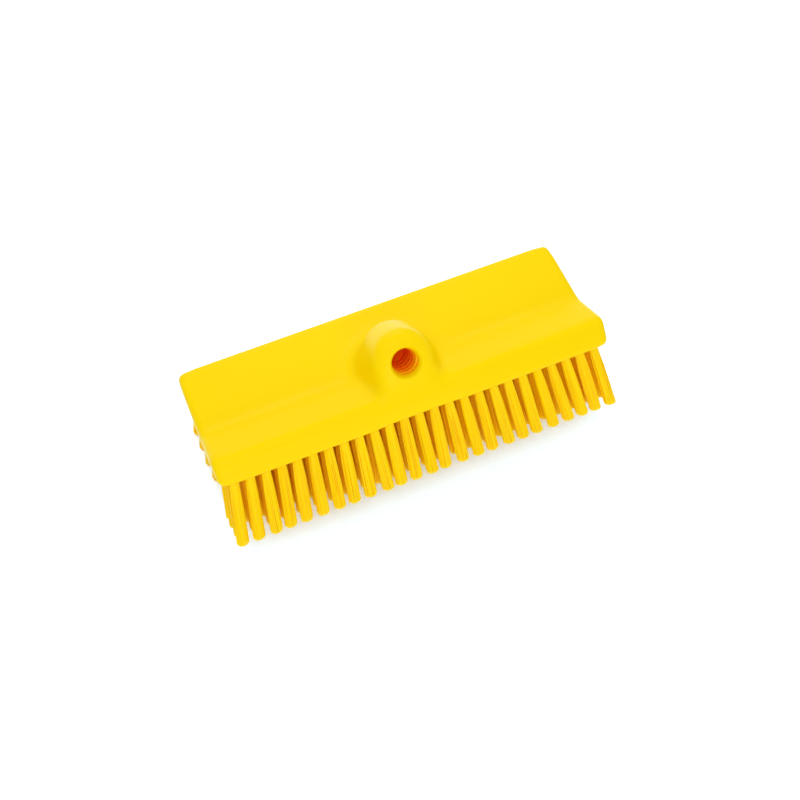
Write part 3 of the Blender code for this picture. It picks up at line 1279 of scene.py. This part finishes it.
@dataclass(frozen=True)
class WhiteFloor:
    """A white floor that keeps the brush's shadow.

    To the camera it is white up to the shadow. Near the brush its colour is painted cool, to
    cancel the warm light that comes off the brush, so that the shadow there shows a cool grey.
    """

    size: float = 6.0
    paint: tuple[float, float, float, float] = (0.95, 0.95, 0.95, 1.0)
    painted_cool_near: tuple[float, float, float, float] = (1.24, 1.56, 1.86, 1.0)
    near: float = 0.2  # metres from the origin to where the painted cool tint starts to fade
    far_white: tuple[float, float, float, float] = (2.2, 2.2, 2.2, 1.0)
    far: float = 0.8  # and to where far_white has taken over

    def build(self) -> None:
        """Lays the floor and paints it."""
        bpy.ops.mesh.primitive_plane_add(size=self.size)
        floor = named(bpy.context.object, "studio_floor")
        made = bpy.data.materials.new("white_sweep")
        made.use_nodes = True
        tree = made.node_tree
        spot = add_node(tree, "ShaderNodeTexCoord").outputs["Object"]
        away = add_node(tree, "ShaderNodeVectorMath", {"Vector": spot}, operation="LENGTH")
        share = add_node(
            tree,
            "ShaderNodeMapRange",
            {"Value": away.outputs["Value"], "From Min": self.near, "From Max": self.far},
        ).outputs["Result"]
        # painted cool tint near the brush for the shadow, plain white further off
        seen = add_node(
            tree,
            "ShaderNodeMix",
            {"Factor": share, MIX_A: self.painted_cool_near, MIX_B: self.far_white},
            data_type="RGBA",
        ).outputs[MIXED]
        white = add_node(
            tree,
            "ShaderNodeMix",
            {"Factor": rays_that_see_white(tree), MIX_A: self.paint, MIX_B: seen},
            data_type="RGBA",
        )
        matt = add_node(tree, "ShaderNodeBsdfDiffuse", {"Color": white.outputs[MIXED]})
        tree.links.new(matt.outputs["BSDF"], tree.nodes["Material Output"].inputs["Surface"])
        tree.nodes.remove(tree.nodes["Principled BSDF"])
        dress(floor, made)


@dataclass(frozen=True)
class WhiteDome:
    """A plain white sky, fully white to the camera and in gloss."""

    strength: float = 0.62

    def build(self) -> None:
        """Makes the world."""
        world = bpy.data.worlds.new("studio_dome")
        bpy.context.scene.world = world
        world.use_nodes = True
        tree = world.node_tree
        background = tree.nodes["Background"]
        background.inputs["Color"].default_value = (1, 1, 1, 1)
        strength = add_node(
            tree,
            "ShaderNodeMapRange",
            {"Value": rays_that_see_white(tree), "To Min": self.strength, "To Max": 1.0},
        )
        tree.links.new(strength.outputs["Result"], background.inputs["Strength"])


@dataclass(frozen=True)
class SoftBox:
    """A soft lamp that points at the brush."""

    name: str
    spot: tuple[float, float, float]
    size: tuple[float, float]
    watts: float
    aim: tuple[float, float, float] = (0.0, 0.0, 0.05)

    def build(self) -> None:
        """Hangs the lamp and turns it to the brush."""
        lamp = bpy.data.lights.new(self.name, "AREA")
        lamp.shape = "RECTANGLE"
        lamp.size, lamp.size_y = self.size
        lamp.energy = self.watts
        obj = bpy.data.objects.new(self.name, lamp)
        obj.location = self.spot
        towards = Vector(self.aim) - Vector(self.spot)
        obj.rotation_euler = towards.to_track_quat("-Z", "Y").to_euler()
        bpy.context.scene.collection.objects.link(obj)


@dataclass(frozen=True)
class PhotoCamera:
    """The photograph's viewpoint, fitted to the block's outline and the tufts."""

    lens: float = 54.17  # millimetres on a sensor 36 wide
    sensor: float = 36
    right: tuple[float, float, float] = (0.92163, -0.388015, -0.006153)
    up: tuple[float, float, float] = (0.341911, 0.804432, 0.485773)
    forward: tuple[float, float, float] = (0.18354, 0.449815, -0.874057)
    spot: tuple[float, float, float] = (-0.14114, -0.40004, 0.6381)  # from the plate's back edge

    def build(self, back_top: Vector) -> None:
        """Sets the camera up and makes it the scene's.

        Args:
            back_top: The middle of the plate's back top edge.
        """
        data = bpy.data.cameras.new("photo_camera")
        data.lens = self.lens
        data.sensor_width = self.sensor
        camera = bpy.data.objects.new("photo_camera", data)
        axes = Matrix((self.right, self.up, -Vector(self.forward))).transposed().to_4x4()
        camera.matrix_world = Matrix.Translation(back_top + Vector(self.spot)) @ axes
        bpy.context.scene.collection.objects.link(camera)
        bpy.context.scene.camera = camera


@dataclass(frozen=True)
class Studio:
    """White floor and dome, three soft lamps and the photograph's viewpoint."""

    back_top: Vector
    floor: WhiteFloor = WhiteFloor()
    dome: WhiteDome = WhiteDome()
    lamps: tuple[SoftBox, ...] = (
        SoftBox("front_softbox", (-0.34, -0.6, 1.76), (1.0, 1.0), 6.0),
        SoftBox("low_softbox", (-0.2, -1.66, 0.63), (1.0, 0.6), 6.4),
        SoftBox("back_softbox", (0.15, 0.92, 0.84), (0.7, 0.6), 4.4),
    )
    camera: PhotoCamera = PhotoCamera()
    # red light hardly fades in the gaps between tufts, so it is followed further than usual
    diffuse_bounces: int = 12
    most_bounces: int = 16

    def build(self) -> None:
        """Builds the whole studio."""
        scene = bpy.context.scene
        scene.view_settings.view_transform = "Standard"
        scene.cycles.diffuse_bounces = self.diffuse_bounces
        scene.cycles.max_bounces = self.most_bounces
        for piece in (self.floor, self.dome, *self.lamps):
            piece.build()
        self.camera.build(self.back_top)


def main() -> None:
    """Builds every sub-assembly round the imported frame, then the studio."""
    logging.basicConfig(level=logging.INFO, format="%(message)s")
    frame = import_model()
    section = BlockSection()
    back_top = Vector((0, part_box("brush_block")[1].y, TRIM_LENGTH + section.thickness))
    to_part = Matrix.Translation(back_top)

    plastic = MouldedPolypropylene().build()
    bristle = ExtrudedFilament().build()
    steel = FlatStapleWire().build()

    MouldedBlock(section, HandleBoss(section), to_part, plastic).build()
    BristleField(TuftPattern(section, to_part), bristle).build()
    FrontStaples(frame["nodes"], steel).build()
    Studio(back_top).build()


if __name__ == "__main__":
    main()
